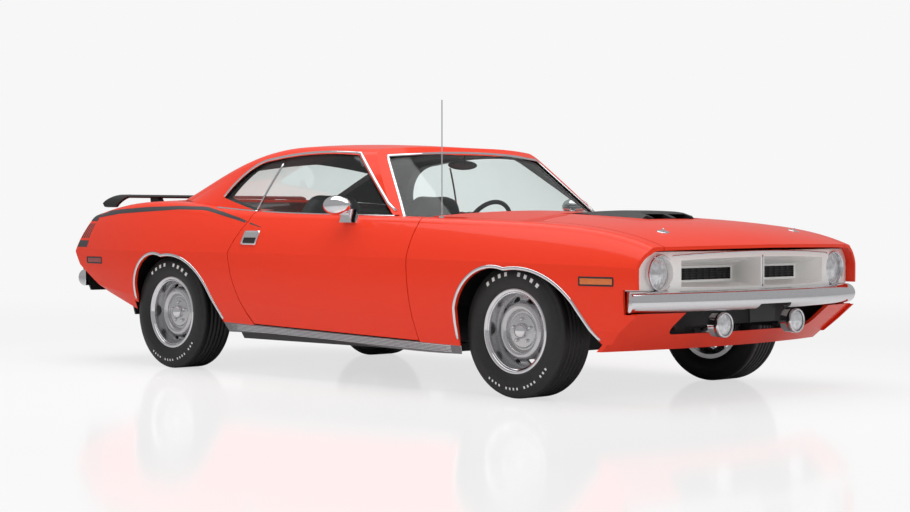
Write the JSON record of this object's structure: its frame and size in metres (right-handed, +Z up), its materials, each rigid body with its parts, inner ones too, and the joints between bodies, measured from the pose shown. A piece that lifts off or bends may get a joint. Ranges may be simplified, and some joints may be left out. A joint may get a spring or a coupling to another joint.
{
  "type": "two-door muscle car",
  "caption": "Two-door hardtop muscle car with opening doors, hood and deck lid, a scoop through the hood, rear wing, slotted steel wheels that roll and steering front wheels.",
  "frame": {"origin": "on the floor under the middle of the car's length and width", "axes": "+X forward, +Y to the car's left, +Z up"},
  "size_m": [4.7418, 1.974, 1.468],
  "materials": {
    "paint": "gloss",
    "black": "matte",
    "chrome": "gloss",
    "argent": "satin",
    "glass": "gloss",
    "lens": "gloss",
    "red_lens": "gloss",
    "amber_lens": "gloss",
    "rubber": "matte",
    "wheel_steel": "satin",
    "steel": "satin",
    "iron": "matte",
    "trim": "matte",
    "vinyl": "satin"
  },
  "bodies": {
    "chassis": {"underbody": "black", "fender_left": "paint", "fender_right": "paint", "quarter_left": "paint", "quarter_right": "paint", "roof": "paint", "cowl": "paint", "tulip_panel": "paint", "tail_panel": "black", "front_valance": "paint", "grille": "argent", "front_lamps": "lens", "front_bumper": "chrome", "rear_bumper": "chrome", "tail_lamps": "red_lens", "side_markers": "amber_lens", "rocker_mouldings": "argent", "windshield": "glass", "backlight": "glass", "quarter_glass": "glass", "engine": "iron", "scoop": "black", "front_suspension": "iron", "rear_axle": "iron", "exhaust": "steel", "fuel_tank": "steel", "front_seats": "vinyl", "rear_seat": "vinyl", "dashboard": "trim", "plate_bracket": "black", "antenna": "chrome"},
    "hood": {"hood": "paint"},
    "deck_lid": {"deck_lid": "paint", "rear_wing": "black"},
    "door_left": {"door_left": "paint", "door_glass_left": "glass", "mirror_left": "chrome"},
    "door_right": {"door_right": "paint", "door_glass_right": "glass", "mirror_right": "chrome"},
    "knuckle_left": {"knuckle_left": "iron"},
    "knuckle_right": {"knuckle_right": "iron"},
    "steering_wheel": {"steering_wheel": "trim"},
    "wheel_front_left": {"wheel_front_left": "wheel_steel", "tyre_front_left": "rubber"},
    "wheel_front_right": {"wheel_front_right": "wheel_steel", "tyre_front_right": "rubber"},
    "wheel_rear_left": {"wheel_rear_left": "wheel_steel", "tyre_rear_left": "rubber"},
    "wheel_rear_right": {"wheel_rear_right": "wheel_steel", "tyre_rear_right": "rubber"}
  },
  "joints": [
    {"name": "hood_hinge", "type": "hinge", "parent": "chassis", "child": "hood", "pos_m": [0.79, 0, 0.857], "axis": [0, -1, 0], "range_deg": [0, 50]},
    {"name": "deck_hinge", "type": "hinge", "parent": "chassis", "child": "deck_lid", "pos_m": [-1.58, 0, 0.936], "axis": [0, 1, 0], "range_deg": [0, 60]},
    {"name": "door_left_hinge", "type": "hinge", "parent": "chassis", "child": "door_left", "pos_m": [0.697, 0.921, 0.634], "axis": [0, 0, -1], "range_deg": [0, 65]},
    {"name": "door_right_hinge", "type": "hinge", "parent": "chassis", "child": "door_right", "pos_m": [0.697, -0.921, 0.634], "axis": [0, 0, 1], "range_deg": [0, 65]},
    {"name": "steer_left", "type": "hinge", "parent": "chassis", "child": "knuckle_left", "pos_m": [1.441, 0.668, 0.326], "axis": [0, 0, 1], "range_deg": [-30, 30]},
    {"name": "steer_right", "type": "hinge", "parent": "chassis", "child": "knuckle_right", "pos_m": [1.441, -0.668, 0.326], "axis": [0, 0, 1], "range_deg": [-30, 30]},
    {"name": "steering_wheel_turn", "type": "hinge", "parent": "chassis", "child": "steering_wheel", "pos_m": [0.06, 0.37, 0.8], "axis": [-0.9136, 0, 0.4067], "range_deg": [-480, 480]},
    {"name": "spin_front_left", "type": "hinge", "parent": "knuckle_left", "child": "wheel_front_left", "pos_m": [1.441, 0.758, 0.326], "axis": [0, 1, 0], "continuous": true},
    {"name": "spin_front_right", "type": "hinge", "parent": "knuckle_right", "child": "wheel_front_right", "pos_m": [1.441, -0.758, 0.326], "axis": [0, 1, 0], "continuous": true},
    {"name": "spin_rear_left", "type": "hinge", "parent": "chassis", "child": "wheel_rear_left", "pos_m": [-1.302, 0.771, 0.326], "axis": [0, 1, 0], "continuous": true},
    {"name": "spin_rear_right", "type": "hinge", "parent": "chassis", "child": "wheel_rear_right", "pos_m": [-1.302, -0.771, 0.326], "axis": [0, 1, 0], "continuous": true}
  ],
  "couplings": [
    {"joint": "steer_right", "follows": "steer_left", "ratio": 1},
    {"joint": "steering_wheel_turn", "follows": "steer_left", "ratio": 16}
  ]
}
